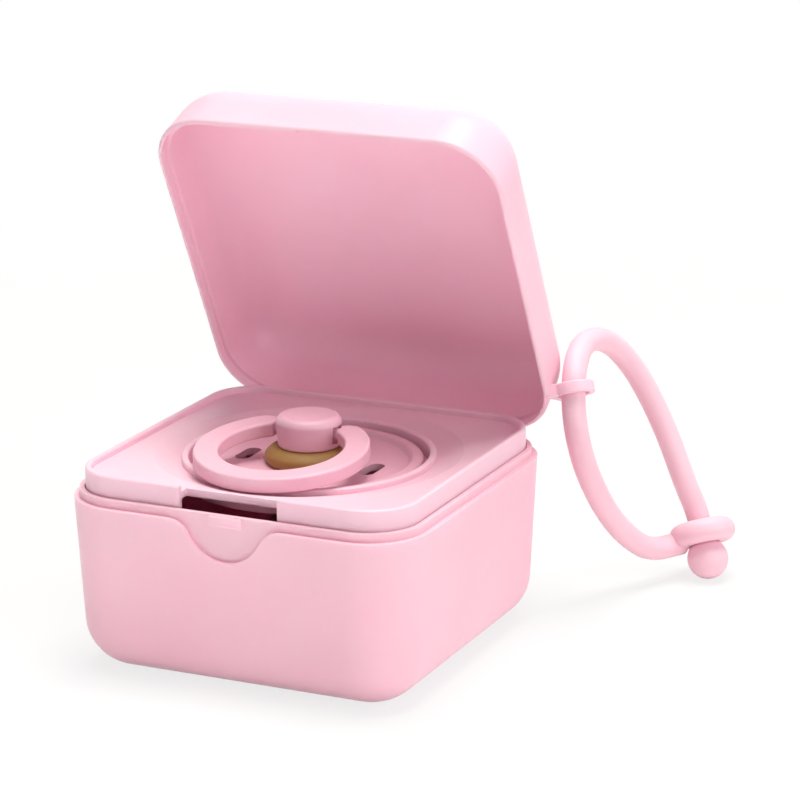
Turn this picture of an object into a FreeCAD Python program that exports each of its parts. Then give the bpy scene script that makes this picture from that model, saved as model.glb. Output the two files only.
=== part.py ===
# A travel case with a hinged lid, open at rest, with a pacifier in its tray and a strap through its eyelet.
# Millimetres, +Z up, front towards -Y, origin at the middle of the base's underside.
import FreeCAD, Part
import Sketcher
import math
import os

Vector = FreeCAD.Vector
Rotation = FreeCAD.Rotation
Placement = FreeCAD.Placement

# Driving sizes, one row of the sheet each
SIZES = [
    # Base tub
    ("base_half_width", 40.0),
    ("base_half_depth", 39.6),
    ("base_height", 37.1),
    ("base_corner_radius", 13.2),
    ("base_draft", 3.2),
    ("base_bottom_round", 10.8),
    ("base_floor", 2.2),
    ("base_inner_round", 7.6),
    ("round_limit_share", 0.96),
    # Stepped rim of the base and the ledge that carries the tray
    ("rim_step", 1.2),
    ("rim_height", 1.8),
    ("rim_wall", 1.1),
    ("ledge_depth", 10.0),
    ("ledge_width", 1.5),
    # Thumb scoop and latch bump at the front
    ("scoop_half_width", 12.8),
    ("scoop_depth", 7.9),
    ("scoop_round", 5.0),
    ("latch_width", 7.4),
    ("latch_height", 2.2),
    ("latch_depth", 0.5),
    ("latch_round", 0.4),
    ("latch_drop", 0.2),
    ("latch_room", 0.3),
    # Hinge
    ("hinge_back", 1.4),
    ("hinge_rise", 0.7),
    ("knuckle_radius", 2.1),
    ("knuckle_relief", 0.3),
    ("knuckle_gap", 0.3),
    ("base_knuckle_half", 11.0),
    ("lid_knuckle_length", 10.0),
    ("pin_radius", 1.0),
    ("pin_half_length", 21.0),
    ("pin_play", 0.05),
    ("pin_grip", 0.02),
    # Lid
    ("lid_overhang", 0.15),
    ("lid_height", 18.4),
    ("lid_draft", 4.4),
    ("lid_top_round", 11.0),
    ("lid_rim_round", 0.8),
    ("lid_inner_round", 9.2),
    ("lid_wall", 1.9),
    ("lid_clearance", 0.35),
    ("lid_seat_gap", 0.1),
    ("lid_skirt", 2.2),
    ("lid_open_angle", 63.6),
    # Eyelet on the lid's right wall
    ("eyelet_out", 3.6),
    ("eyelet_inset", 10.0),
    ("eyelet_rise", 5.05),
    ("eyelet_tilt", 44.0),
    ("eyelet_lift", 18.0),
    ("eyelet_room", 0.8),
    ("eyelet_wall", 1.2),
    ("eyelet_thickness", 2.6),
    ("eyelet_edge_round", 0.3),
    ("eyelet_neck_half", 3.4),
    ("eyelet_root_half", 4.6),
    # Tray
    ("tray_clearance", 0.2),
    ("tray_wall", 1.3),
    ("tray_rise", 4.5),
    ("lip_height", 1.35),
    ("lip_round", 0.5),
    ("deck_thickness", 1.6),
    ("seat_depth", 3.9),
    ("seat_thickness", 1.6),
    ("seat_ledge", 6.4),
    ("seat_room", 1.3),
    ("collar_wall", 1.4),
    ("collar_drop", 0.3),
    ("collar_round", 0.35),
    ("dish_width", 5.8),
    ("dish_drop", 1.6),
    ("dish_overlap", 0.6),
    ("notch_half_width", 11.2),
    ("notch_depth", 3.4),
    # Pacifier shield
    ("shield_radius", 24.2),
    ("shield_thickness", 1.5),
    ("shield_rim_rise", 1.0),
    ("shield_rim_width", 2.4),
    ("shield_rim_slope", 0.8),
    ("shield_round", 0.7),
    ("vent_reach", 14.6),
    ("vent_width", 3.4),
    ("vent_length", 8.4),
    # Latex teat
    ("neck_radius", 6.3),
    ("neck_room", 0.1),
    ("neck_length", 11.3),
    ("cuff_height", 3.7),
    ("cuff_foot_radius", 9.0),
    ("cuff_belly_radius", 9.5),
    ("cuff_belly_height", 1.9),
    ("cuff_top_radius", 8.0),
    ("cuff_round", 1.0),
    ("bulb_radius", 11.2),
    ("bulb_shoulder", 3.0),
    ("bulb_length", 18.0),
    ("bulb_round", 8.6),
    ("bulb_shoulder_round", 6.0),
    ("neck_round", 4.0),
    ("teat_wall", 1.2),
    # Knob
    ("knob_radius", 7.1),
    ("knob_foot_radius", 6.6),
    ("knob_height", 6.7),
    ("knob_top_round", 1.7),
    ("knob_foot_round", 0.5),
    ("stem_radius", 3.6),
    ("stem_room", 0.1),
    ("stem_length", 7.8),
    ("pivot_rise", 3.0),
    ("socket_bottom", 4.5),
    ("socket_notch_half", 2.0),
    ("socket_notch_height", 3.8),
    ("socket_notch_depth", 1.3),
    # Ring handle
    ("ring_outer_radius", 18.45),
    ("ring_band", 5.25),
    ("ring_thickness", 3.3),
    ("ring_set_in", 5.65),
    ("ring_tilt", 5.4),
    ("ring_edge_round", 0.6),
    ("ring_end_round", 1.2),
    ("ring_end_past", 2.1),
    ("ring_side_gap", 0.3),
    ("stub_radius", 1.3),
    ("stub_play", 0.06),
    ("stub_end_gap", 0.1),
    ("stub_root", 2.0),
    # Strap
    ("cord_diameter", 5.2),
    ("ball_radius", 4.6),
    ("eye_radius", 7.4),
    ("eye_thickness", 5.2),
    ("eye_round", 2.4),
    ("eye_hole_round", 0.9),
    ("eye_room", 0.35),
    ("eye_from_ball", 2.1),
    ("eye_stub_length", 4.4),
    # Overrun of every cut
    ("cut_overrun", 3.0),
]

# Two points closer than this are the same point
NEAR = 0.001

# Route of the strap's cord, from the face of its eye to the face of its ball, chosen by hand
ROUTE = [
    (55.7, 66.4, 7.5),
    (53.4, 61.9, 7.6),
    (50.24, 56.34, 12.29),
    (48.32, 50.32, 18.57),
    (47.32, 44.27, 26),
    (46.32, 39.22, 34.32),
    (45.1, 36.9, 44.2),
    (43.2, 41.3, 53.5),
    (41.3, 51.2, 57.6),
    (42.76, 61.16, 56.01),
    (46.28, 67.58, 49.13),
    (50.1, 70.7, 40.35),
    (53.92, 72.32, 30.87),
    (57.66, 72.51, 20.93),
    (60.5, 73.9, 13.6),
    (62.77, 71.81, 7.93),
]
# Half of each run's share that its arcs may take
ARC_SHARE = 0.45


# A number together with the sheet expression that it comes from
class Size:
    def __init__(self, text, value):
        self.text = text
        self.value = value

    def joined(self, sign, other, value):
        return Size("(%s %s %s)" % (self.text, sign, as_size(other).text), value)

    def __add__(self, other):
        return self.joined("+", other, self.value + as_size(other).value)

    def __sub__(self, other):
        return self.joined("-", other, self.value - as_size(other).value)

    def __mul__(self, other):
        return self.joined("*", other, self.value * as_size(other).value)

    def __truediv__(self, other):
        return self.joined("/", other, self.value / as_size(other).value)

    def __rmul__(self, other):
        return as_size(other) * self

    def __neg__(self):
        return as_size(-1) * self


def as_size(number):
    if isinstance(number, Size):
        return number
    return Size("(%r)" % float(number), float(number))


def smaller(first, second):
    return Size("min(%s; %s)" % (first.text, second.text), min(first.value, second.value))


def tangent(angle):
    return Size("tan(%s)" % angle.text, math.tan(math.radians(angle.value)))


def sine(angle):
    return Size("sin(%s)" % angle.text, math.sin(math.radians(angle.value)))


def cosine(angle):
    return Size("cos(%s)" % angle.text, math.cos(math.radians(angle.value)))


def arc_cosine(ratio):
    return Size("acos(%s)" % ratio.text, math.degrees(math.acos(ratio.value)))


# The document and its sheet
doc = FreeCAD.newDocument("pacifier_case")
sheet = doc.addObject("Spreadsheet::Sheet", "Sizes")


class Sheet:
    pass


S = Sheet()
for row, (alias, number) in enumerate(SIZES, 1):
    sheet.set("A%d" % row, alias)
    sheet.set("B%d" % row, str(number))
    sheet.setAlias("B%d" % row, alias)
    setattr(S, alias, Size("Sizes." + alias, number))
doc.recompute()


# Drawing helpers
def bind(item, path, size):
    item.setExpression(path, as_size(size).text)


def new_body(label):
    body = doc.addObject("PartDesign::Body", label)
    body.Label = label
    return body


def new_sketch(body, name, role, lift=0, across=0, along=0):
    sketch = body.newObject("Sketcher::SketchObject", name)
    planes = [item for item in body.Origin.OriginFeatures if item.Role == role]
    sketch.AttachmentSupport = (planes[0], [""])
    sketch.MapMode = "FlatFace"
    for axis, size in (("x", across), ("y", along), ("z", lift)):
        if isinstance(size, Size):
            bind(sketch, "AttachmentOffset.Base." + axis, size)
    return sketch


def add_bound(sketch, size, *constraint):
    index = sketch.addConstraint(Sketcher.Constraint(*constraint, size.value))
    bind(sketch, "Constraints[%d]" % index, size)


def pin_point(sketch, item, end, x, y):
    for kind, axis, size in (("DistanceX", -2, x), ("DistanceY", -1, y)):
        if isinstance(size, Size):
            add_bound(sketch, size, kind, -1, 1, item, end)
        else:
            sketch.addConstraint(Sketcher.Constraint("PointOnObject", item, end, axis))


def draw_outline(sketch, points):
    corners = [Vector(as_size(x).value, as_size(y).value, 0) for x, y in points]
    lines = []
    for index, corner in enumerate(corners):
        following = corners[(index + 1) % len(corners)]
        lines.append(sketch.addGeometry(Part.LineSegment(corner, following)))
    for index, line in enumerate(lines):
        following = lines[(index + 1) % len(lines)]
        sketch.addConstraint(Sketcher.Constraint("Coincident", line, 2, following, 1))
    for line, (x, y) in zip(lines, points):
        pin_point(sketch, line, 1, x, y)


def draw_circle(sketch, x, y, radius):
    centre = Vector(as_size(x).value, as_size(y).value, 0)
    circle = sketch.addGeometry(Part.Circle(centre, Vector(0, 0, 1), radius.value))
    if not isinstance(x, Size) and not isinstance(y, Size):
        sketch.addConstraint(Sketcher.Constraint("Coincident", circle, 3, -1, 1))
    else:
        pin_point(sketch, circle, 3, x, y)
    add_bound(sketch, radius, "Radius", circle)


def draw_arc(sketch, x, y, radius, start, end):
    circle = Part.Circle(Vector(x, y, 0), Vector(0, 0, 1), radius)
    return sketch.addGeometry(Part.ArcOfCircle(circle, math.radians(start), math.radians(end)))


# A rectangle with rounded corners about the sketch's origin
def draw_round_rectangle(sketch, half_width, half_depth, radius):
    wide, deep, bend = half_width.value, half_depth.value, radius.value
    flat_x, flat_y = wide - bend, deep - bend
    sides = []
    for start, end in (
        ((-flat_x, -deep), (flat_x, -deep)),
        ((wide, -flat_y), (wide, flat_y)),
        ((flat_x, deep), (-flat_x, deep)),
        ((-wide, flat_y), (-wide, -flat_y)),
    ):
        sides.append(sketch.addGeometry(Part.LineSegment(Vector(*start, 0), Vector(*end, 0))))
    arcs = [
        draw_arc(sketch, flat_x, -flat_y, bend, 270, 360),
        draw_arc(sketch, flat_x, flat_y, bend, 0, 90),
        draw_arc(sketch, -flat_x, flat_y, bend, 90, 180),
        draw_arc(sketch, -flat_x, -flat_y, bend, 180, 270),
    ]
    for index in range(4):
        sketch.addConstraint(Sketcher.Constraint("Tangent", sides[index], 2, arcs[index], 1))
        sketch.addConstraint(Sketcher.Constraint("Tangent", arcs[index], 2, sides[(index + 1) % 4], 1))
        turned = "Horizontal" if index % 2 == 0 else "Vertical"
        sketch.addConstraint(Sketcher.Constraint(turned, sides[index]))
    for arc in arcs[1:]:
        sketch.addConstraint(Sketcher.Constraint("Equal", arcs[0], arc))
    sketch.addConstraint(Sketcher.Constraint("Symmetric", arcs[1], 3, arcs[3], 3, -1, 1))
    add_bound(sketch, half_width, "DistanceX", -1, 1, sides[1], 1)
    add_bound(sketch, half_depth, "DistanceY", -1, 1, sides[2], 1)
    add_bound(sketch, radius, "Radius", arcs[0])


# A slot with round ends that runs along the sketch's Y
def draw_slot(sketch, x, half_length, radius):
    reach, bend = x.value, radius.value
    straight = half_length.value - bend
    top = draw_arc(sketch, reach, straight, bend, 0, 180)
    foot = draw_arc(sketch, reach, -straight, bend, 180, 360)
    corners = [Vector(reach + x_side * bend, y_side * straight, 0) for x_side in (-1, 1) for y_side in (1, -1)]
    left = sketch.addGeometry(Part.LineSegment(corners[0], corners[1]))
    right = sketch.addGeometry(Part.LineSegment(corners[3], corners[2]))
    for first, second in ((top, left), (left, foot), (foot, right), (right, top)):
        sketch.addConstraint(Sketcher.Constraint("Tangent", first, 2, second, 1))
    sketch.addConstraint(Sketcher.Constraint("Equal", top, foot))
    pin_point(sketch, top, 3, x, half_length - radius)
    pin_point(sketch, foot, 3, x, radius - half_length)
    add_bound(sketch, radius, "Radius", top)


# Feature helpers
def pad(body, name, sketch, length, backwards=False, taper=None):
    feature = body.newObject("PartDesign::Pad", name)
    feature.Profile = sketch
    feature.Reversed = backwards
    bind(feature, "Length", length)
    if taper:
        bind(feature, "TaperAngle", taper)
    return feature


def pocket(body, name, sketch, length, backwards=False, taper=None):
    doc.recompute()
    before = body.Shape.Volume
    feature = body.newObject("PartDesign::Pocket", name)
    feature.Profile = sketch
    feature.Reversed = backwards
    bind(feature, "Length", length)
    if taper:
        bind(feature, "TaperAngle", taper)
    doc.recompute()
    if body.Shape.Volume > before - NEAR:
        raise RuntimeError(name + " cuts nothing")
    return feature


def revolve(body, name, sketch):
    feature = body.newObject("PartDesign::Revolution", name)
    feature.Profile = sketch
    feature.ReferenceAxis = (sketch, ["V_Axis"])
    feature.Angle = 360
    return feature


def round_edges(body, name, radius, wanted):
    doc.recompute()
    base = body.Tip
    names = ["Edge%d" % place for place, edge in enumerate(base.Shape.Edges, 1) if wanted(edge)]
    if not names:
        raise RuntimeError(name + " finds no edge")
    feature = body.newObject("PartDesign::Fillet", name)
    feature.Base = (base, names)
    bind(feature, "Radius", radius)
    doc.recompute()
    return feature


def hollow_out(label, outside, hollow):
    piece = doc.addObject("Part::Cut", label)
    piece.Label = label
    piece.Base = outside
    piece.Tool = hollow
    doc.recompute()
    return piece


def lies_at(height):
    def wanted(edge):
        box = edge.BoundBox
        return abs(box.ZMin - height.value) < NEAR and abs(box.ZMax - height.value) < NEAR
    return wanted


def circles_at(radius, height):
    def wanted(edge):
        if not lies_at(height)(edge) or not isinstance(edge.Curve, Part.Circle):
            return False
        return abs(edge.Curve.Radius - radius.value) < NEAR
    return wanted


def circles_of(radius):
    def wanted(edge):
        return isinstance(edge.Curve, Part.Circle) and abs(edge.Curve.Radius - radius.value) < NEAR
    return wanted


def any_of(*tests):
    def wanted(edge):
        return any(test(edge) for test in tests)
    return wanted


# Sizes that several pieces share
rim_top = S.base_height + S.rim_height
rim_half_width = S.base_half_width - S.rim_step
rim_half_depth = S.base_half_depth - S.rim_step
rim_corner = S.base_corner_radius - S.rim_step
well_half_width = rim_half_width - S.rim_wall
well_half_depth = rim_half_depth - S.rim_wall
well_corner = rim_corner - S.rim_wall
ledge_top = rim_top - S.ledge_depth
hinge_y = S.base_half_depth + S.hinge_back
hinge_z = S.base_height + S.hinge_rise
relief_radius = S.knuckle_radius + S.knuckle_relief
lid_knuckle_start = S.base_knuckle_half + S.knuckle_gap
lid_knuckle_end = lid_knuckle_start + S.lid_knuckle_length
slope_share = math.sqrt(0.5)
cord_radius = S.cord_diameter / 2


# Base tub
base = new_body("BaseOutside")
sketch = new_sketch(base, "BaseOutline", "XY_Plane", S.base_height)
draw_round_rectangle(sketch, S.base_half_width, S.base_half_depth, S.base_corner_radius)
pad(base, "BaseBlock", sketch, S.base_height, True, -S.base_draft)
bottom_corner = S.base_corner_radius - S.base_height * tangent(S.base_draft)
bottom_round = smaller(S.base_bottom_round, S.round_limit_share * bottom_corner)
round_edges(base, "BaseBottomRound", bottom_round, lies_at(as_size(0)))

sketch = new_sketch(base, "RimOutline", "XY_Plane", S.base_height)
draw_round_rectangle(sketch, rim_half_width, rim_half_depth, rim_corner)
pad(base, "Rim", sketch, S.rim_height)

# Thumb scoop, back to the rim's own front face
sketch = new_sketch(base, "ScoopOutline", "XZ_Plane", rim_half_depth)
wide = S.scoop_half_width
scoop_bend = wide * wide / (2 * S.scoop_depth) + S.scoop_depth / 2 - S.scoop_round
shoulder_z = S.base_height - S.scoop_round
bowl_z = S.base_height - S.scoop_depth + scoop_bend
lean = math.degrees(math.atan2(bowl_z.value - shoulder_z.value, wide.value))
left_arc = draw_arc(sketch, -wide.value, shoulder_z.value, S.scoop_round.value, lean, 90)
right_arc = draw_arc(sketch, wide.value, shoulder_z.value, S.scoop_round.value, 90, 180 - lean)
bowl_arc = draw_arc(sketch, 0, bowl_z.value, scoop_bend.value, 180 + lean, 360 - lean)
above = S.base_height + S.cut_overrun
left_line = sketch.addGeometry(Part.LineSegment(
    Vector(-wide.value, S.base_height.value, 0), Vector(-wide.value, above.value, 0)))
top_line = sketch.addGeometry(Part.LineSegment(
    Vector(-wide.value, above.value, 0), Vector(wide.value, above.value, 0)))
right_line = sketch.addGeometry(Part.LineSegment(
    Vector(wide.value, above.value, 0), Vector(wide.value, S.base_height.value, 0)))
for first, first_end, second, second_end in (
    (left_arc, 2, left_line, 1),
    (left_line, 2, top_line, 1),
    (top_line, 2, right_line, 1),
    (right_line, 2, right_arc, 1),
):
    sketch.addConstraint(Sketcher.Constraint("Coincident", first, first_end, second, second_end))
sketch.addConstraint(Sketcher.Constraint("Tangent", left_arc, 1, bowl_arc, 1))
sketch.addConstraint(Sketcher.Constraint("Tangent", right_arc, 2, bowl_arc, 2))
sketch.addConstraint(Sketcher.Constraint("PointOnObject", bowl_arc, 3, -2))
sketch.addConstraint(Sketcher.Constraint("Vertical", left_line))
sketch.addConstraint(Sketcher.Constraint("Vertical", right_line))
sketch.addConstraint(Sketcher.Constraint("Vertical", left_arc, 3, left_arc, 2))
sketch.addConstraint(Sketcher.Constraint("Vertical", right_arc, 3, right_arc, 1))
pin_point(sketch, left_arc, 3, -wide, shoulder_z)
pin_point(sketch, right_arc, 3, wide, shoulder_z)
add_bound(sketch, S.scoop_round, "Radius", left_arc)
add_bound(sketch, scoop_bend, "Radius", bowl_arc)
add_bound(sketch, above, "DistanceY", -1, 1, top_line, 1)
add_bound(sketch, above, "DistanceY", -1, 1, top_line, 2)
pocket(base, "Scoop", sketch, S.rim_step + S.cut_overrun, True)

# Latch bump on the rim's front
sketch = new_sketch(base, "LatchOutline", "XZ_Plane", rim_half_depth)
latch_top = rim_top - S.latch_drop
latch_foot = latch_top - S.latch_height
draw_outline(sketch, [
    (-S.latch_width / 2, latch_foot),
    (S.latch_width / 2, latch_foot),
    (S.latch_width / 2, latch_top),
    (-S.latch_width / 2, latch_top),
])
pad(base, "Latch", sketch, S.latch_depth)
latch_front = -(rim_half_depth + S.latch_depth)
round_edges(base, "LatchRound", S.latch_round, lambda edge: abs(edge.BoundBox.YMin - latch_front.value) < NEAR
            and abs(edge.BoundBox.YMax - latch_front.value) < NEAR)

# Room for the lid's knuckles, then the base's own knuckle on its web
sketch = new_sketch(base, "BaseReliefOutline", "YZ_Plane", -(lid_knuckle_end + S.knuckle_gap))
draw_circle(sketch, hinge_y, hinge_z, relief_radius)
pocket(base, "BaseRelief", sketch, 2 * (lid_knuckle_end + S.knuckle_gap), True)
sketch = new_sketch(base, "BaseWebOutline", "YZ_Plane", -S.base_knuckle_half)
slope_out = slope_share * S.knuckle_radius
draw_outline(sketch, [
    (rim_half_depth, S.base_height),
    (rim_half_depth, hinge_z - slope_out - (hinge_y + slope_out - rim_half_depth)),
    (hinge_y + slope_out, hinge_z - slope_out),
    (hinge_y, S.base_height),
])
pad(base, "BaseWeb", sketch, 2 * S.base_knuckle_half)
sketch = new_sketch(base, "BaseKnuckleOutline", "YZ_Plane", -S.base_knuckle_half)
draw_circle(sketch, hinge_y, hinge_z, S.knuckle_radius)
pad(base, "BaseKnuckle", sketch, 2 * S.base_knuckle_half)
sketch = new_sketch(base, "BaseBoreOutline", "YZ_Plane", -(S.base_knuckle_half + S.cut_overrun))
draw_circle(sketch, hinge_y, hinge_z, S.pin_radius + S.pin_play)
pocket(base, "BaseBore", sketch, 2 * (S.base_knuckle_half + S.cut_overrun), True)

# The hollow of the tub: the well for the tray down to its ledge, and the space below
core = new_body("BaseHollow")
sketch = new_sketch(core, "WellOutline", "XY_Plane", ledge_top)
draw_round_rectangle(sketch, well_half_width, well_half_depth, well_corner)
pad(core, "Well", sketch, S.ledge_depth + S.cut_overrun)
sketch = new_sketch(core, "CavityOutline", "XY_Plane", ledge_top)
cavity_corner = well_corner - S.ledge_width
cavity_half_width = well_half_width - S.ledge_width
cavity_half_depth = well_half_depth - S.ledge_width
draw_round_rectangle(sketch, cavity_half_width, cavity_half_depth, cavity_corner)
cavity_depth = ledge_top - S.base_floor
pad(core, "Cavity", sketch, cavity_depth, True, -S.base_draft)
cavity_bottom_corner = cavity_corner - cavity_depth * tangent(S.base_draft)
inner_round = smaller(S.base_inner_round, S.round_limit_share * cavity_bottom_corner)
round_edges(core, "BaseInnerRound", inner_round, lies_at(S.base_floor))
base_tub = hollow_out("base_tub", base, core)


# Tray insert
tray_half_width = well_half_width - S.tray_clearance
tray_half_depth = well_half_depth - S.tray_clearance
tray_corner = well_corner - S.tray_clearance
tray_top = rim_top + S.tray_rise
deck_top = tray_top - S.lip_height
deck_foot = deck_top - S.deck_thickness
inside_width = tray_half_width - S.tray_wall
inside_depth = tray_half_depth - S.tray_wall
inside_corner = tray_corner - S.tray_wall
seat_top = deck_top - S.seat_depth
seat_radius = S.shield_radius + S.seat_room
collar_outer = seat_radius + S.collar_wall
collar_top = deck_top - S.collar_drop
dish_outer = collar_outer + S.dish_width
dish_low = deck_top - S.dish_drop
hole_radius = seat_radius - S.seat_ledge
tray = new_body("tray_insert")
sketch = new_sketch(tray, "TrayOutline", "XY_Plane", ledge_top)
draw_round_rectangle(sketch, tray_half_width, tray_half_depth, tray_corner)
pad(tray, "TrayBlock", sketch, tray_top - ledge_top)
sketch = new_sketch(tray, "TrayUnderside", "XY_Plane", ledge_top)
draw_round_rectangle(sketch, inside_width, inside_depth, inside_corner)
pocket(tray, "TrayHollow", sketch, deck_foot - ledge_top, True)
sketch = new_sketch(tray, "DeckOutline", "XY_Plane", tray_top)
draw_round_rectangle(sketch, inside_width, inside_depth, inside_corner)
pocket(tray, "Deck", sketch, S.lip_height)
round_edges(tray, "LipRound", S.lip_round, lies_at(tray_top))
sketch = new_sketch(tray, "DishOpening", "XY_Plane", deck_top)
draw_circle(sketch, 0, 0, dish_outer)
pocket(tray, "DishHole", sketch, S.deck_thickness)
sketch = new_sketch(tray, "SeatProfile", "XZ_Plane")
draw_outline(sketch, [
    (dish_outer, deck_top),
    (collar_outer, dish_low),
    (collar_outer, collar_top),
    (seat_radius, collar_top),
    (seat_radius, seat_top),
    (hole_radius, seat_top),
    (hole_radius, seat_top - S.seat_thickness),
    (seat_radius + S.seat_thickness, seat_top - S.seat_thickness),
    (seat_radius + S.seat_thickness, dish_low - S.deck_thickness),
    (dish_outer, deck_foot),
    (dish_outer + S.dish_overlap, deck_foot),
    (dish_outer + S.dish_overlap, deck_top),
])
revolve(tray, "Seat", sketch)
round_edges(tray, "CollarRound", S.collar_round,
            any_of(circles_at(collar_outer, collar_top), circles_at(seat_radius, collar_top)))
sketch = new_sketch(tray, "NotchOutline", "XY_Plane", tray_top + S.cut_overrun)
notch_y = S.notch_depth - tray_half_depth
draw_outline(sketch, [
    (-S.notch_half_width, notch_y - S.notch_depth - S.cut_overrun),
    (S.notch_half_width, notch_y - S.notch_depth - S.cut_overrun),
    (S.notch_half_width, notch_y),
    (-S.notch_half_width, notch_y),
])
pocket(tray, "Notch", sketch, tray_top - ledge_top + 2 * S.cut_overrun)


# Lid, drawn closed about the hinge's axis and turned open
lid_half_width = S.base_half_width + S.lid_overhang
lid_half_depth = S.base_half_depth + S.lid_overhang
lid_corner = S.base_corner_radius + S.lid_overhang
lid_foot = S.base_height + S.lid_seat_gap - hinge_z
lid_top = lid_foot + S.lid_height
lid = new_body("LidOutside")
sketch = new_sketch(lid, "LidOutline", "XY_Plane", lid_foot, 0, -hinge_y)
draw_round_rectangle(sketch, lid_half_width, lid_half_depth, lid_corner)
pad(lid, "LidBlock", sketch, S.lid_height, False, -S.lid_draft)
lid_top_corner = lid_corner - S.lid_height * tangent(S.lid_draft)
lid_round = smaller(S.lid_top_round, S.round_limit_share * lid_top_corner)
round_edges(lid, "LidTopRound", lid_round, lies_at(lid_top))
round_edges(lid, "LidRimRound", S.lid_rim_round, lies_at(lid_foot))

# Room for the base's knuckle, then the lid's two knuckles on their webs
sketch = new_sketch(lid, "LidReliefOutline", "YZ_Plane", -lid_knuckle_start)
draw_circle(sketch, 0, 0, relief_radius)
pocket(lid, "LidRelief", sketch, 2 * lid_knuckle_start, True)
skirt_wall = S.rim_step + S.lid_overhang - S.lid_clearance
web_in = S.lid_overhang - S.hinge_back - skirt_wall / 2
for side, start in (("Right", lid_knuckle_start), ("Left", -lid_knuckle_end)):
    sketch = new_sketch(lid, "LidWebOutline" + side, "YZ_Plane", start)
    draw_outline(sketch, [
        (web_in, 0),
        (0, 0),
        (slope_out, slope_out),
        (web_in, 2 * slope_out - web_in),
    ])
    pad(lid, "LidWeb" + side, sketch, S.lid_knuckle_length)
    sketch = new_sketch(lid, "LidKnuckleOutline" + side, "YZ_Plane", start)
    draw_circle(sketch, 0, 0, S.knuckle_radius)
    pad(lid, "LidKnuckle" + side, sketch, S.lid_knuckle_length)
sketch = new_sketch(lid, "LidBoreOutline", "YZ_Plane", -(lid_knuckle_end + S.cut_overrun))
draw_circle(sketch, 0, 0, S.pin_radius + S.pin_grip)
pocket(lid, "LidBore", sketch, 2 * (lid_knuckle_end + S.cut_overrun), True)

# Eyelet: a tilted plate on a neck from the right wall, with a rounded hole
eyelet_hole = cord_radius + S.eyelet_room
eyelet_x = lid_half_width + S.eyelet_out
eyelet_y = lid_half_depth - S.eyelet_inset - hinge_y
eyelet_z = lid_foot + S.eyelet_rise


eyelet_plane = lid.newObject("PartDesign::Plane", "EyeletPlane")
level = [item for item in lid.Origin.OriginFeatures if item.Role == "XY_Plane"][0]
eyelet_plane.AttachmentSupport = (level, [""])
eyelet_plane.MapMode = "FlatFace"
eyelet_plane.AttachmentOffset = Placement(Vector(), Rotation(Vector(1, 0, 0), S.eyelet_tilt.value))
bind(eyelet_plane, "AttachmentOffset.Rotation.Angle", S.eyelet_tilt)
bind(eyelet_plane, "AttachmentOffset.Base.x", eyelet_x)
bind(eyelet_plane, "AttachmentOffset.Base.y", eyelet_y)
bind(eyelet_plane, "AttachmentOffset.Base.z", eyelet_z)


def eyelet_sketch(name, drop):
    sketch = lid.newObject("Sketcher::SketchObject", name)
    sketch.AttachmentSupport = (eyelet_plane, [""])
    sketch.MapMode = "FlatFace"
    sketch.AttachmentOffset = Placement(Vector(), Rotation(Vector(0, -1, 0), S.eyelet_lift.value))
    bind(sketch, "AttachmentOffset.Rotation.Angle", S.eyelet_lift)
    bind(sketch, "AttachmentOffset.Base.x", drop * sine(S.eyelet_lift))
    bind(sketch, "AttachmentOffset.Base.z", -drop * cosine(S.eyelet_lift))
    return sketch


half_plate = S.eyelet_thickness / 2
sketch = eyelet_sketch("EyeletNeckOutline", half_plate)
neck_reach = (S.eyelet_out + S.lid_wall / 2) / cosine(S.eyelet_lift)
draw_outline(sketch, [
    (-neck_reach, -S.eyelet_root_half),
    (0, -S.eyelet_neck_half),
    (0, S.eyelet_neck_half),
    (-neck_reach, S.eyelet_root_half),
])
pad(lid, "EyeletNeck", sketch, S.eyelet_thickness)
sketch = eyelet_sketch("EyeletOutline", half_plate)
draw_circle(sketch, 0, 0, eyelet_hole + S.eyelet_wall)
pad(lid, "EyeletPlate", sketch, S.eyelet_thickness)
sketch = eyelet_sketch("EyeletHoleOutline", -half_plate)
draw_circle(sketch, 0, 0, eyelet_hole)
pocket(lid, "EyeletHole", sketch, S.eyelet_thickness)
round_edges(lid, "EyeletRound", S.eyelet_edge_round,
            any_of(circles_of(eyelet_hole), circles_of(eyelet_hole + S.eyelet_wall)))

# The hollow of the lid: the skirt over the rim, the dome and the latch's groove
dome = new_body("LidHollow")
sketch = new_sketch(dome, "SkirtOutline", "XY_Plane", lid_foot - S.cut_overrun, 0, -hinge_y)
draw_round_rectangle(sketch, rim_half_width + S.lid_clearance, rim_half_depth + S.lid_clearance,
                     rim_corner + S.lid_clearance)
pad(dome, "Skirt", sketch, S.lid_skirt + S.cut_overrun)
dome_foot = lid_foot + S.lid_skirt
dome_height = S.lid_height - S.lid_skirt - S.lid_wall
dome_corner = lid_corner - S.lid_wall
sketch = new_sketch(dome, "DomeOutline", "XY_Plane", dome_foot, 0, -hinge_y)
draw_round_rectangle(sketch, lid_half_width - S.lid_wall, lid_half_depth - S.lid_wall, dome_corner)
pad(dome, "Dome", sketch, dome_height, False, -S.lid_draft)
dome_top_corner = dome_corner - dome_height * tangent(S.lid_draft)
dome_round = smaller(S.lid_inner_round, S.round_limit_share * dome_top_corner)
round_edges(dome, "DomeRound", dome_round, lies_at(dome_foot + dome_height))
sketch = new_sketch(dome, "GrooveOutline", "XY_Plane", lid_foot - S.cut_overrun, 0, -hinge_y)
groove_half = S.latch_width / 2 + S.latch_room
groove_front = rim_half_depth + S.latch_depth + S.latch_room
draw_outline(sketch, [
    (-groove_half, -groove_front),
    (groove_half, -groove_front),
    (groove_half, -rim_half_depth),
    (-groove_half, -rim_half_depth),
])
pad(dome, "Groove", sketch, S.cut_overrun + latch_top + S.latch_room - hinge_z - lid_foot)
lid_shell = hollow_out("lid_shell", lid, dome)
lid_shell.Placement = Placement(Vector(), Rotation(Vector(-1, 0, 0), S.lid_open_angle.value))
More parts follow.
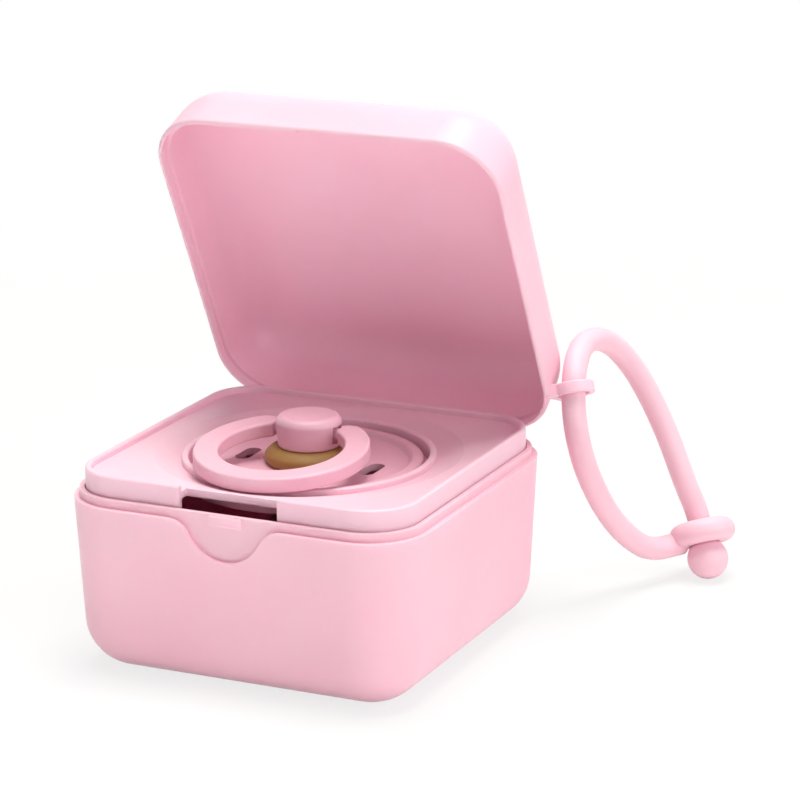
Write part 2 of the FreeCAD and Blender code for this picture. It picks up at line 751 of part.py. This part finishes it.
bind(lid_shell, "Placement.Base.y", hinge_y)
bind(lid_shell, "Placement.Base.z", hinge_z)
bind(lid_shell, "Placement.Rotation.Angle", S.lid_open_angle)


# Hinge pin
hinge_pin = doc.addObject("Part::Cylinder", "hinge_pin")
hinge_pin.Label = "hinge_pin"
hinge_pin.Placement = Placement(Vector(), Rotation(Vector(0, 1, 0), 90))
bind(hinge_pin, "Radius", S.pin_radius)
bind(hinge_pin, "Height", 2 * S.pin_half_length)
bind(hinge_pin, "Placement.Base.x", -S.pin_half_length)
bind(hinge_pin, "Placement.Base.y", hinge_y)
bind(hinge_pin, "Placement.Base.z", hinge_z)


# Pacifier shield, on the tray's seat
shield_top = seat_top + S.shield_thickness
shield_rim_top = shield_top + S.shield_rim_rise
shield_rim_inner = S.shield_radius - S.shield_rim_width
neck_hole = S.neck_radius + S.neck_room
shield = new_body("pacifier_shield")
sketch = new_sketch(shield, "ShieldProfile", "XZ_Plane")
draw_outline(sketch, [
    (neck_hole, seat_top),
    (S.shield_radius, seat_top),
    (S.shield_radius, shield_rim_top),
    (shield_rim_inner, shield_rim_top),
    (shield_rim_inner - S.shield_rim_slope, shield_top),
    (neck_hole, shield_top),
])
revolve(shield, "ShieldPlate", sketch)
round_edges(shield, "ShieldRound", S.shield_round, any_of(
    circles_at(S.shield_radius, seat_top),
    circles_at(S.shield_radius, shield_rim_top),
    circles_at(shield_rim_inner, shield_rim_top),
))
sketch = new_sketch(shield, "VentOutline", "XY_Plane", shield_top)
draw_slot(sketch, S.vent_reach, S.vent_length / 2, S.vent_width / 2)
draw_slot(sketch, -S.vent_reach, S.vent_length / 2, S.vent_width / 2)
pocket(shield, "Vents", sketch, S.shield_thickness)


# Latex teat: a cuff above the shield, a neck through it and a hollow bulb below
cuff_top = shield_top + S.cuff_height
belly_z = shield_top + S.cuff_belly_height
neck_foot = shield_top - S.neck_length
shoulder_foot = neck_foot - S.bulb_shoulder
bulb_foot = shoulder_foot - S.bulb_length
teat = new_body("TeatOutline")
sketch = new_sketch(teat, "TeatProfile", "XZ_Plane")
draw_outline(sketch, [
    (0, cuff_top),
    (0, bulb_foot),
    (S.bulb_radius, bulb_foot),
    (S.bulb_radius, shoulder_foot),
    (S.neck_radius, neck_foot),
    (S.neck_radius, shield_top),
    (S.cuff_foot_radius, shield_top),
    (S.cuff_belly_radius, belly_z),
    (S.cuff_top_radius, cuff_top),
])
revolve(teat, "TeatOutside", sketch)
round_edges(teat, "CuffRound", S.cuff_round, circles_at(S.cuff_belly_radius, belly_z))
round_edges(teat, "BulbRound", S.bulb_round, circles_at(S.bulb_radius, bulb_foot))
round_edges(teat, "NeckRound", S.neck_round, circles_at(S.neck_radius, neck_foot))
round_edges(teat, "ShoulderRound", S.bulb_shoulder_round, circles_at(S.bulb_radius, shoulder_foot))
stem_bore = S.stem_radius + S.stem_room
bulb_inside = S.bulb_radius - S.teat_wall
lumen = new_body("TeatHollow")
sketch = new_sketch(lumen, "TeatHollowProfile", "XZ_Plane")
draw_outline(sketch, [
    (0, cuff_top + S.cut_overrun),
    (0, bulb_foot + S.teat_wall),
    (bulb_inside, bulb_foot + S.teat_wall),
    (bulb_inside, shoulder_foot),
    (stem_bore, neck_foot),
    (stem_bore, cuff_top + S.cut_overrun),
])
revolve(lumen, "TeatInside", sketch)
bulb_inner_round = S.bulb_round - S.teat_wall
shoulder_inner_round = S.bulb_shoulder_round - S.teat_wall
round_edges(lumen, "BulbInnerRound", bulb_inner_round, circles_at(bulb_inside, bulb_foot + S.teat_wall))
round_edges(lumen, "ShoulderInnerRound", shoulder_inner_round, circles_at(bulb_inside, shoulder_foot))
nipple = hollow_out("pacifier_nipple", teat, lumen)


# Knob on the cuff, with a stem in the teat and a socket on each side
knob_top = cuff_top + S.knob_height
pivot_z = cuff_top + S.pivot_rise
knob = new_body("pacifier_knob")
sketch = new_sketch(knob, "KnobProfile", "XZ_Plane")
draw_outline(sketch, [
    (0, knob_top),
    (0, cuff_top - S.stem_length),
    (S.stem_radius, cuff_top - S.stem_length),
    (S.stem_radius, cuff_top),
    (S.knob_foot_radius, cuff_top),
    (S.knob_radius, knob_top),
])
revolve(knob, "KnobTurned", sketch)
round_edges(knob, "KnobTopRound", S.knob_top_round, circles_at(S.knob_radius, knob_top))
round_edges(knob, "KnobFootRound", S.knob_foot_round, circles_at(S.knob_foot_radius, cuff_top))
notch_start = S.knob_radius - S.socket_notch_depth
notch_low = pivot_z - S.socket_notch_height / 2
notch_high = pivot_z + S.socket_notch_height / 2
for side, sign, outward in (("Right", 1, True), ("Left", -1, False)):
    sketch = new_sketch(knob, "SocketNotchOutline" + side, "YZ_Plane", sign * notch_start)
    draw_outline(sketch, [
        (-S.socket_notch_half, notch_low),
        (S.socket_notch_half, notch_low),
        (S.socket_notch_half, notch_high),
        (-S.socket_notch_half, notch_high),
    ])
    pocket(knob, "SocketNotch" + side, sketch, S.socket_notch_depth + S.cut_overrun, outward)
    sketch = new_sketch(knob, "SocketOutline" + side, "YZ_Plane", sign * S.socket_bottom)
    draw_circle(sketch, 0, pivot_z, S.stub_radius + S.stub_play)
    pocket(knob, "Socket" + side, sketch, S.knob_radius - S.socket_bottom + S.cut_overrun, outward)


# Ring handle, drawn flat about its pivot and tilted down to the front
arm_x = S.knob_radius + S.ring_side_gap
half_ring = S.ring_thickness / 2
ring_reach = S.ring_outer_radius - S.ring_set_in
ring = new_body("pacifier_ring")
sketch = new_sketch(ring, "RingOutline", "XY_Plane", -half_ring)
draw_circle(sketch, 0, -ring_reach, S.ring_outer_radius)
draw_circle(sketch, 0, -ring_reach, S.ring_outer_radius - S.ring_band)
pad(ring, "RingPlate", sketch, S.ring_thickness)
sketch = new_sketch(ring, "KnobGapOutline", "XY_Plane", half_ring)
draw_outline(sketch, [
    (-arm_x, -ring_reach),
    (arm_x, -ring_reach),
    (arm_x, S.ring_outer_radius),
    (-arm_x, S.ring_outer_radius),
])
pocket(ring, "KnobGap", sketch, S.ring_thickness)
sketch = new_sketch(ring, "ArmEndOutline", "XY_Plane", half_ring)
draw_outline(sketch, [
    (-S.ring_outer_radius, S.ring_end_past),
    (S.ring_outer_radius, S.ring_end_past),
    (S.ring_outer_radius, S.ring_outer_radius),
    (-S.ring_outer_radius, S.ring_outer_radius),
])
pocket(ring, "ArmEnds", sketch, S.ring_thickness)


def stands_at_an_arm(edge):
    box = edge.BoundBox
    upright = box.XLength < NEAR and box.YLength < NEAR
    return upright and box.YMin > -ring_reach.value / 2


round_edges(ring, "ArmEndRound", S.ring_end_round, stands_at_an_arm)
round_edges(ring, "RingEdgeRound", S.ring_edge_round, any_of(lies_at(half_ring), lies_at(-half_ring)))
stub_tip = S.socket_bottom + S.stub_end_gap
for side, sign, inward in (("Right", 1, False), ("Left", -1, True)):
    sketch = new_sketch(ring, "StubOutline" + side, "YZ_Plane", sign * stub_tip)
    draw_circle(sketch, 0, 0, S.stub_radius)
    pad(ring, "Stub" + side, sketch, arm_x + S.stub_root - stub_tip, inward)
ring.Placement = Placement(Vector(), Rotation(Vector(1, 0, 0), S.ring_tilt.value))
bind(ring, "Placement.Base.z", pivot_z)
bind(ring, "Placement.Rotation.Angle", S.ring_tilt)


# Strap: a cord of straight runs and tangent arcs, with an eye at one end and a ball at the other
route = [Vector(*point) for point in ROUTE]


def cord_path(points):
    edges = []
    radii = []
    start = points[0]
    for before, corner, after in zip(points, points[1:], points[2:]):
        inward = corner - before
        outward = after - corner
        reach = ARC_SHARE * min(inward.Length, outward.Length)
        half_turn = inward.getAngle(outward) / 2
        radius = reach / math.tan(half_turn)
        inward.normalize()
        outward.normalize()
        middle = outward - inward
        middle.normalize()
        first = corner - inward * reach
        last = corner + outward * reach
        crown = corner + middle * (radius / math.cos(half_turn) - radius)
        edges.append(Part.LineSegment(start, first).toShape())
        edges.append(Part.Arc(first, crown, last).toShape())
        radii.append(radius)
        start = last
    edges.append(Part.LineSegment(start, points[-1]).toShape())
    return Part.Wire(edges), radii


path, radii = cord_path(route)
first_run = route[1] - route[0]
section = Part.Circle(route[0], first_run, cord_radius.value).toShape()
cord_shape = path.makePipeShell([Part.Wire([section])], True, False)
cord = doc.addObject("Part::Feature", "strap_cord")
cord.Label = "strap_cord"
cord.Shape = cord_shape
print("cord length", round(path.Length, 2), "tightest radius", round(min(radii), 2))
print("cord radii", [round(radius, 1) for radius in radii])
print("cord volume over section times length",
      round(cord_shape.Volume / (math.pi * cord_radius.value ** 2 * path.Length), 4))

# The eye goes round the cord just above the ball, and its stub meets the cord's first face
up = route[-2] - route[-1]
up.normalize()
eye_hole = cord_radius + S.eye_room
half_eye = S.eye_thickness / 2
eye = new_body("strap_eye")
eye.Placement = Placement(route[-1] + up * S.eye_from_ball.value, Rotation(Vector(0, 0, 1), up))
sketch = new_sketch(eye, "EyeProfile", "XZ_Plane")
draw_outline(sketch, [
    (0, -half_eye),
    (S.eye_radius, -half_eye),
    (S.eye_radius, half_eye),
    (0, half_eye),
])
revolve(eye, "EyeRing", sketch)
round_edges(eye, "EyeRound", S.eye_round, circles_of(S.eye_radius))
sketch = new_sketch(eye, "EyeStubOutline", "XY_Plane")
towards_eye = route[0] - route[1]
stub_place = Placement(route[0], Rotation(Vector(0, 0, 1), towards_eye))
sketch.AttachmentOffset = eye.Placement.inverse() * stub_place
draw_circle(sketch, 0, 0, cord_radius)
pad(eye, "EyeStub", sketch, S.eye_stub_length)
sketch = new_sketch(eye, "EyeHoleOutline", "XY_Plane", S.cord_diameter)
draw_circle(sketch, 0, 0, eye_hole)
pocket(eye, "EyeHole", sketch, 2 * S.cord_diameter)
round_edges(eye, "EyeHoleRound", S.eye_hole_round, circles_of(eye_hole))

ball_turn = arc_cosine(cord_radius / S.ball_radius)
ball_flat = S.ball_radius * sine(ball_turn)
ball = doc.addObject("Part::Sphere", "strap_ball")
ball.Label = "strap_ball"
bind(ball, "Radius", S.ball_radius)
bind(ball, "Angle2", ball_turn)
ball.Placement = Placement(route[-1] - up * ball_flat.value, Rotation(Vector(0, 0, 1), up))


# Check every object and write every piece
doc.recompute()
for item in doc.Objects:
    if "Invalid" in item.State or "Error" in item.State:
        raise RuntimeError(item.Name + " failed: " + item.getStatusString())
pieces = [base_tub, tray, lid_shell, hinge_pin, shield, nipple, knob, ring, cord, eye, ball]
for piece in pieces:
    shape = piece.Shape
    if shape.isNull() or not shape.isValid() or len(shape.Solids) != 1:
        raise RuntimeError(piece.Label + " is not one valid solid")
os.makedirs("parts", exist_ok=True)
for piece in pieces:
    piece.Shape.exportStep("parts/" + piece.Label + ".step")
    print(piece.Label, round(piece.Shape.Volume, 1))
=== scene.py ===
"""Looks of the open pacifier case: camera, strap, teat, materials, floor and light, in metres."""

import bpy
import bmesh
import math
from mathutils import Matrix, Vector


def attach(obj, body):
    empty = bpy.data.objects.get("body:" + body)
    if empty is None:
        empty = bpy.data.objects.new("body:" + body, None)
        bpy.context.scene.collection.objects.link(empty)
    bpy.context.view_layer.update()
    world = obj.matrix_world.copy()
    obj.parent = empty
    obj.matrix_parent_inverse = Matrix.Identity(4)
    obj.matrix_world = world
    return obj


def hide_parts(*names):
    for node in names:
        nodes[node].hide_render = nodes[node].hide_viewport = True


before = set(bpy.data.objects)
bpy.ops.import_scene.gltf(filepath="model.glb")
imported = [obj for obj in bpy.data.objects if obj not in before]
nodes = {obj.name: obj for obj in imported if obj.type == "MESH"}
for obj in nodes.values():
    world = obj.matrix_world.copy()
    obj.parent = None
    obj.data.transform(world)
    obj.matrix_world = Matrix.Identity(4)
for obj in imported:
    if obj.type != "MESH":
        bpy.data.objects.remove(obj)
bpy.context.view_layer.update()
scene = bpy.context.scene


# Camera at the photograph's angle. The azimuth turns from -Y, the case's front, towards +X.
AZIMUTH = math.radians(25.17)
ELEVATION = math.radians(16.15)
ROLL = math.radians(-0.54)
DISTANCE = 0.68398
TARGET = Vector((0.02855, -0.01551, 0.06048))
SENSOR_WIDTH_MM = 36
LENS_MM = 152.25
CLIP_NEAR = 0.05
CLIP_FAR = 20

back = Vector((
    math.sin(AZIMUTH) * math.cos(ELEVATION),
    -math.cos(AZIMUTH) * math.cos(ELEVATION),
    math.sin(ELEVATION),
))
level_right = Vector((math.cos(AZIMUTH), math.sin(AZIMUTH), 0))
level_up = back.cross(level_right)
right = level_right * math.cos(ROLL) + level_up * math.sin(ROLL)
up = level_up * math.cos(ROLL) - level_right * math.sin(ROLL)
camera_data = bpy.data.cameras.new("camera")
camera_data.sensor_width = SENSOR_WIDTH_MM
camera_data.lens = LENS_MM
camera_data.clip_start = CLIP_NEAR
camera_data.clip_end = CLIP_FAR
camera = bpy.data.objects.new("camera", camera_data)
camera_turn = Matrix((right, up, back)).transposed().to_4x4()
camera.matrix_world = Matrix.Translation(TARGET + back * DISTANCE) @ camera_turn
scene.collection.objects.link(camera)
scene.camera = camera


# Strap: one cord from its eye to its ball, on the route of its solid
STRAP_ROUTE = [
    (0.0557, 0.0664, 0.0075),
    (0.0534, 0.0619, 0.0076),
    (0.05024, 0.05634, 0.01229),
    (0.04832, 0.05032, 0.01857),
    (0.04732, 0.04427, 0.026),
    (0.04632, 0.03922, 0.03432),
    (0.0451, 0.0369, 0.0442),
    (0.0432, 0.0413, 0.0535),
    (0.0413, 0.0512, 0.0576),
    (0.04276, 0.06116, 0.05601),
    (0.04628, 0.06758, 0.04913),
    (0.0501, 0.0707, 0.04035),
    (0.05392, 0.07232, 0.03087),
    (0.05766, 0.07251, 0.02093),
    (0.0605, 0.0739, 0.0136),
    (0.06277, 0.07181, 0.00793),
]
STRAP_DIAMETER = 0.0052
STRAP_STEPS_PER_SPAN = 12
STRAP_ROUNDNESS = 8

strap_data = bpy.data.curves.new("strap", "CURVE")
strap_data.dimensions = "3D"
strap_data.resolution_u = STRAP_STEPS_PER_SPAN
strap_data.bevel_depth = 1.0  # the points' own radius gives the size
strap_data.bevel_resolution = STRAP_ROUNDNESS
strap_data.use_fill_caps = True
spline = strap_data.splines.new("NURBS")
spline.points.add(len(STRAP_ROUTE) - 1)
for point, place in zip(spline.points, STRAP_ROUTE):
    point.co = (*place, 1)
    point.radius = STRAP_DIAMETER / 2
spline.order_u = 3
spline.use_endpoint_u = True
spline.use_smooth = True
strap = bpy.data.objects.new("strap", strap_data)
scene.collection.objects.link(strap)
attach(strap, "strap")
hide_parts("strap_cord")


# Latex teat: a turned skin, outside and inside, closed at the mouth round the knob's stem.
# Each profile is a list of radius and height in millimetres, from the collar down to the tip
# outside, and from the tip up to the mouth inside.
TEAT_OUTSIDE = [
    (3.72, 43.33),
    (5.8, 43.33),
    (7.5, 43.31),
    (8.1, 43.05),
    (8.8, 42.5),
    (9.36, 41.95),
    (9.52, 41.45),
    (9.44, 40.85),
    (9.2, 40.15),
    (9.0, 39.8),
    (8.7, 39.68),
    (7.2, 39.67),
    (6.35, 39.63),
    (6.26, 39.15),
    (6.26, 37.25),
    (6.22, 34.85),
    (6.24, 31.85),
    (6.7, 29.45),
    (7.9, 27.45),
    (9.6, 25.65),
    (10.7, 23.45),
    (11.15, 20.65),
    (11.15, 17.25),
    (10.6, 13.75),
    (9.1, 10.55),
    (6.9, 8.45),
    (4.2, 7.6),
    (1.6, 7.4),
]
TEAT_INSIDE = [
    (1.5, 8.6),
    (4.0, 8.8),
    (6.3, 9.65),
    (8.2, 11.55),
    (9.5, 14.25),
    (9.95, 17.25),
    (9.95, 20.45),
    (9.5, 22.85),
    (8.3, 24.85),
    (6.4, 26.45),
    (4.6, 27.75),
    (3.82, 29.25),
    (3.72, 31.35),
    (3.72, 35.85),
    (3.72, 39.85),
]
TEAT_SIDES = 64
MM_PER_METRE = 1000


def turned(name, outside, inside, sides):
    """A closed skin turned about Z, down its outside and up its inside, with both tips capped."""
    mesh = bmesh.new()
    rings = []
    for radius, height in outside + inside:
        ring = []
        for step in range(sides):
            angle = 2 * math.pi * step / sides
            ring.append(mesh.verts.new((
                radius * math.cos(angle) / MM_PER_METRE,
                radius * math.sin(angle) / MM_PER_METRE,
                height / MM_PER_METRE,
            )))
        rings.append(ring)
    outer_tip = len(outside) - 1
    inner_tip = len(outside)
    for index, ring in enumerate(rings):
        if index == outer_tip:
            continue
        following = rings[(index + 1) % len(rings)]
        for step in range(sides):
            after = (step + 1) % sides
            mesh.faces.new((ring[step], ring[after], following[after], following[step]))
    mesh.faces.new(rings[outer_tip])
    mesh.faces.new(list(reversed(rings[inner_tip])))
    bmesh.ops.recalc_face_normals(mesh, faces=mesh.faces)
    for face in mesh.faces:
        face.smooth = True
    data = bpy.data.meshes.new(name)
    mesh.to_mesh(data)
    mesh.free()
    piece = bpy.data.objects.new(name, data)
    scene.collection.objects.link(piece)
    return piece


teat = turned("teat", TEAT_OUTSIDE, TEAT_INSIDE, TEAT_SIDES)
smooth = teat.modifiers.new("smooth", "SUBSURF")
smooth.levels = 1
smooth.render_levels = 1
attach(teat, "pacifier")
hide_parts("pacifier_nipple")


# Materials
def srgb(red, green, blue):
    """Linear colour of an sRGB one from 0 to 255."""
    values = []
    for part in (red, green, blue):
        part = part / 255
        values.append(part / 12.92 if part <= 0.04045 else ((part + 0.055) / 1.055) ** 2.4)
    return (*values, 1)


NOISE_LOW = 0.3
NOISE_HIGH = 0.7


def new_material(name):
    """A node material with its tree, its shader and the place on the object."""
    material = bpy.data.materials.new(name)
    material.use_nodes = True
    tree = material.node_tree
    shader = tree.nodes["Principled BSDF"]
    place = tree.nodes.new("ShaderNodeTexCoord")
    return material, tree, shader, place.outputs["Object"]


def noise(tree, place, scale, detail=3, rough=0.5):
    """Cloudy noise over the object; most of it lies between NOISE_LOW and NOISE_HIGH."""
    node = tree.nodes.new("ShaderNodeTexNoise")
    node.inputs["Scale"].default_value = scale
    node.inputs["Detail"].default_value = detail
    node.inputs["Roughness"].default_value = rough
    tree.links.new(place, node.inputs["Vector"])
    return node.outputs["Fac"]


def tone(tree, shader, value, dark, light):
    """Base colour from dark to light over the noise's span."""
    node = tree.nodes.new("ShaderNodeValToRGB")
    stops = ((NOISE_LOW, dark), (NOISE_HIGH, light))
    for element, (position, colour) in zip(node.color_ramp.elements, stops):
        element.position = position
        element.color = colour
    tree.links.new(value, node.inputs["Fac"])
    tree.links.new(node.outputs["Color"], shader.inputs["Base Color"])


def gloss(tree, shader, value, low, high):
    """Roughness from low to high over the noise's span."""
    node = tree.nodes.new("ShaderNodeMapRange")
    node.inputs["From Min"].default_value = NOISE_LOW
    node.inputs["From Max"].default_value = NOISE_HIGH
    node.inputs["To Min"].default_value = low
    node.inputs["To Max"].default_value = high
    tree.links.new(value, node.inputs["Value"])
    tree.links.new(node.outputs["Result"], shader.inputs["Roughness"])


def bump(tree, shader, height, strength, distance):
    """Fine relief in the surface."""
    node = tree.nodes.new("ShaderNodeBump")
    node.inputs["Strength"].default_value = strength
    node.inputs["Distance"].default_value = distance
    tree.links.new(height, node.inputs["Height"])
    tree.links.new(node.outputs["Normal"], shader.inputs["Normal"])


def let_light_in(shader, weight, radius, scale):
    """Light that enters the surface and comes out again nearby."""
    shader.inputs["Subsurface Weight"].default_value = weight
    shader.inputs["Subsurface Radius"].default_value = radius
    shader.inputs["Subsurface Scale"].default_value = scale


PLASTIC_TONE_SCALE = 45
PLASTIC_GLOSS_SCALE = 320
PLASTIC_GRAIN_ROUGH = 0.6
PLASTIC_GRAIN_STRENGTH = 0.35
PLASTIC_SPECULAR = 0.5
PLASTIC_SCATTER_RADIUS = (1.0, 0.7, 0.78)
PLASTIC_SCATTER_SCALE = 0.005


def moulded(name, dark, light, rough, grain_scale, grain_depth, scatter):
    """Satin moulded plastic: a slow drift of tone, cloudy gloss and a fine spark-eroded grain.

    A thin pale wall also lets some light through, by its scatter.
    """
    material, tree, shader, place = new_material(name)
    tone(tree, shader, noise(tree, place, PLASTIC_TONE_SCALE), dark, light)
    gloss(tree, shader, noise(tree, place, PLASTIC_GLOSS_SCALE), *rough)
    grain = noise(tree, place, grain_scale, rough=PLASTIC_GRAIN_ROUGH)
    bump(tree, shader, grain, PLASTIC_GRAIN_STRENGTH, grain_depth)
    shader.inputs["Specular IOR Level"].default_value = PLASTIC_SPECULAR
    let_light_in(shader, scatter, PLASTIC_SCATTER_RADIUS, PLASTIC_SCATTER_SCALE)
    return material


CASE_FINISH = dict(rough=(0.38, 0.46), grain_scale=2600, grain_depth=0.00003, scatter=0.3)
PACIFIER_FINISH = dict(rough=(0.36, 0.44), grain_scale=3200, grain_depth=0.00002, scatter=0.0)
PIN_FINISH = dict(rough=(0.40, 0.50), grain_scale=2600, grain_depth=0.00003, scatter=0.0)
case_plastic = moulded(
    "case_plastic", srgb(251, 192, 209), srgb(254, 197, 213), **CASE_FINISH)
lid_plastic = moulded(
    "lid_plastic", srgb(248, 196, 213), srgb(251, 201, 217), **CASE_FINISH)
tray_plastic = moulded(
    "tray_plastic", srgb(246, 199, 215), srgb(249, 204, 219), **CASE_FINISH)
pacifier_plastic = moulded(
    "pacifier_plastic", srgb(234, 184, 201), srgb(238, 189, 205), **PACIFIER_FINISH)
pin_plastic = moulded(
    "pin_plastic", srgb(232, 172, 191), srgb(236, 178, 197), **PIN_FINISH)


RUBBER_TONE_SCALE = 90
RUBBER_TONE_DETAIL = 4
RUBBER_GLOSS_SCALE = 500
RUBBER_SKIN_SCALE = 1500
RUBBER_SKIN_ROUGH = 0.6
RUBBER_SKIN_STRENGTH = 0.3
RUBBER_SKIN_DEPTH = 0.00004
RUBBER_SCATTER_SCALE = 0.002


def rubbery(name, dark, light, rough, scatter, scatter_radius):
    """Soft rubber that lets a little light in, with a cloudy tone and a faint skin."""
    material, tree, shader, place = new_material(name)
    clouds = noise(tree, place, RUBBER_TONE_SCALE, RUBBER_TONE_DETAIL)
    tone(tree, shader, clouds, dark, light)
    gloss(tree, shader, noise(tree, place, RUBBER_GLOSS_SCALE), *rough)
    skin = noise(tree, place, RUBBER_SKIN_SCALE, rough=RUBBER_SKIN_ROUGH)
    bump(tree, shader, skin, RUBBER_SKIN_STRENGTH, RUBBER_SKIN_DEPTH)
    let_light_in(shader, scatter, scatter_radius, RUBBER_SCATTER_SCALE)
    return material


silicone = rubbery(
    "silicone", srgb(246, 197, 212), srgb(250, 204, 218),
    rough=(0.48, 0.60), scatter=0.15, scatter_radius=(1.0, 0.6, 0.7))
latex = rubbery(
    "latex", srgb(146, 108, 52), srgb(166, 125, 66),
    rough=(0.52, 0.62), scatter=0.2, scatter_radius=(1.0, 0.55, 0.25))


def dress(piece, material):
    """Gives a piece one material in place of those it has."""
    piece.data.materials.clear()
    piece.data.materials.append(material)


dress(nodes["base_tub"], case_plastic)
dress(nodes["lid_shell"], lid_plastic)
dress(nodes["tray_insert"], tray_plastic)
for name in ("pacifier_shield", "pacifier_knob", "pacifier_ring"):
    dress(nodes[name], pacifier_plastic)
dress(nodes["hinge_pin"], pin_plastic)
for piece in (strap, nodes["strap_eye"], nodes["strap_ball"]):
    dress(piece, silicone)
dress(teat, latex)


# Floor, white to the camera and still shaded by the case: its glow fades out towards the case
FLOOR_REACH = 6
FLOOR_HEIGHT = -0.0004
FLOOR_COLOUR = (0.88, 0.88, 0.88, 1)
FLOOR_ROUGH = 0.9
GLOW_NEAR, GLOW_FAR = 0.12, 0.45
GLOW_SHARE_NEAR, GLOW_SHARE_FAR = 0.78, 1.0
WHITE = (1, 1, 1, 1)
SEEN = ("Is Camera Ray", "Is Glossy Ray", "Is Transmission Ray")

floor_mesh = bmesh.new()
bmesh.ops.create_grid(floor_mesh, x_segments=1, y_segments=1, size=FLOOR_REACH)
floor_data = bpy.data.meshes.new("floor")
floor_mesh.to_mesh(floor_data)
floor_mesh.free()
floor = bpy.data.objects.new("floor", floor_data)
floor.location.z = FLOOR_HEIGHT
scene.collection.objects.link(floor)


def ray_is(tree, names):
    """One where the ray is of any of these kinds."""
    light_path = tree.nodes.new("ShaderNodeLightPath")
    total = light_path.outputs[names[0]]
    for name in names[1:]:
        most = tree.nodes.new("ShaderNodeMath")
        most.operation = "MAXIMUM"
        tree.links.new(total, most.inputs[0])
        tree.links.new(light_path.outputs[name], most.inputs[1])
        total = most.outputs[0]
    return total


floor_look = bpy.data.materials.new("floor")
floor_look.use_nodes = True
tree = floor_look.node_tree
matt = tree.nodes["Principled BSDF"]
matt.inputs["Base Color"].default_value = FLOOR_COLOUR
matt.inputs["Roughness"].default_value = FLOOR_ROUGH
matt.inputs["Specular IOR Level"].default_value = 0.0
glow = tree.nodes.new("ShaderNodeEmission")
glow.inputs["Color"].default_value = WHITE
spot = tree.nodes.new("ShaderNodeTexCoord")
reach = tree.nodes.new("ShaderNodeVectorMath")
reach.operation = "LENGTH"
fade = tree.nodes.new("ShaderNodeMapRange")
fade.interpolation_type = "SMOOTHSTEP"
fade.inputs["From Min"].default_value = GLOW_NEAR
fade.inputs["From Max"].default_value = GLOW_FAR
fade.inputs["To Min"].default_value = GLOW_SHARE_NEAR
fade.inputs["To Max"].default_value = GLOW_SHARE_FAR
share = tree.nodes.new("ShaderNodeMath")
share.operation = "MULTIPLY"
mixed = tree.nodes.new("ShaderNodeMixShader")
tree.links.new(spot.outputs["Object"], reach.inputs[0])
tree.links.new(reach.outputs["Value"], fade.inputs["Value"])
tree.links.new(ray_is(tree, SEEN), share.inputs[0])
tree.links.new(fade.outputs["Result"], share.inputs[1])
tree.links.new(share.outputs[0], mixed.inputs["Fac"])
tree.links.new(matt.outputs["BSDF"], mixed.inputs[1])
tree.links.new(glow.outputs["Emission"], mixed.inputs[2])
tree.links.new(mixed.outputs["Shader"], tree.nodes["Material Output"].inputs["Surface"])
dress(floor, floor_look)


# World, white where it is seen and a soft fill elsewhere
AMBIENT_STRENGTH = 0.265
SEEN_STRENGTH = 1.0

world = bpy.data.worlds.new("studio")
scene.world = world
world.use_nodes = True
tree = world.node_tree
tree.nodes.clear()
ambient = tree.nodes.new("ShaderNodeBackground")
ambient.inputs["Color"].default_value = WHITE
ambient.inputs["Strength"].default_value = AMBIENT_STRENGTH
white = tree.nodes.new("ShaderNodeBackground")
white.inputs["Color"].default_value = WHITE
white.inputs["Strength"].default_value = SEEN_STRENGTH
mixed = tree.nodes.new("ShaderNodeMixShader")
out = tree.nodes.new("ShaderNodeOutputWorld")
tree.links.new(ray_is(tree, SEEN), mixed.inputs["Fac"])
tree.links.new(ambient.outputs["Background"], mixed.inputs[1])
tree.links.new(white.outputs["Background"], mixed.inputs[2])
tree.links.new(mixed.outputs["Shader"], out.inputs["Surface"])


# Lamps
CENTRE = (0.0, 0.0, 0.05)
FLOOR_IN_FRONT = (-0.05, -0.29, 0.0)
PLAIN_WHITE = (1.0, 1.0, 1.0)
WARM_WHITE = (1.0, 1.0, 0.93)


def softbox(name, place, aim, size, power, spread=180, colour=PLAIN_WHITE):
    """A square lamp that faces its aim, with its power in watts and its spread in degrees."""
    data = bpy.data.lights.new(name, "AREA")
    data.shape = "SQUARE"
    data.size = size
    data.energy = power
    data.color = colour
    data.spread = math.radians(spread)
    lamp = bpy.data.objects.new(name, data)
    lamp.location = place
    lamp.rotation_euler = (Vector(aim) - Vector(place)).to_track_quat("-Z", "Y").to_euler()
    scene.collection.objects.link(lamp)


softbox("top", (0.05, 0.10, 0.90), CENTRE, size=0.5, power=8.2, colour=WARM_WHITE)
softbox("side", (0.85, -0.15, 0.30), CENTRE, size=0.6, power=2.95)
softbox("floor_wash", (-0.05, -0.29, 0.70), FLOOR_IN_FRONT, size=0.25, power=1.4, spread=25)

scene.view_settings.view_transform = "Standard"

bpy.context.view_layer.update()
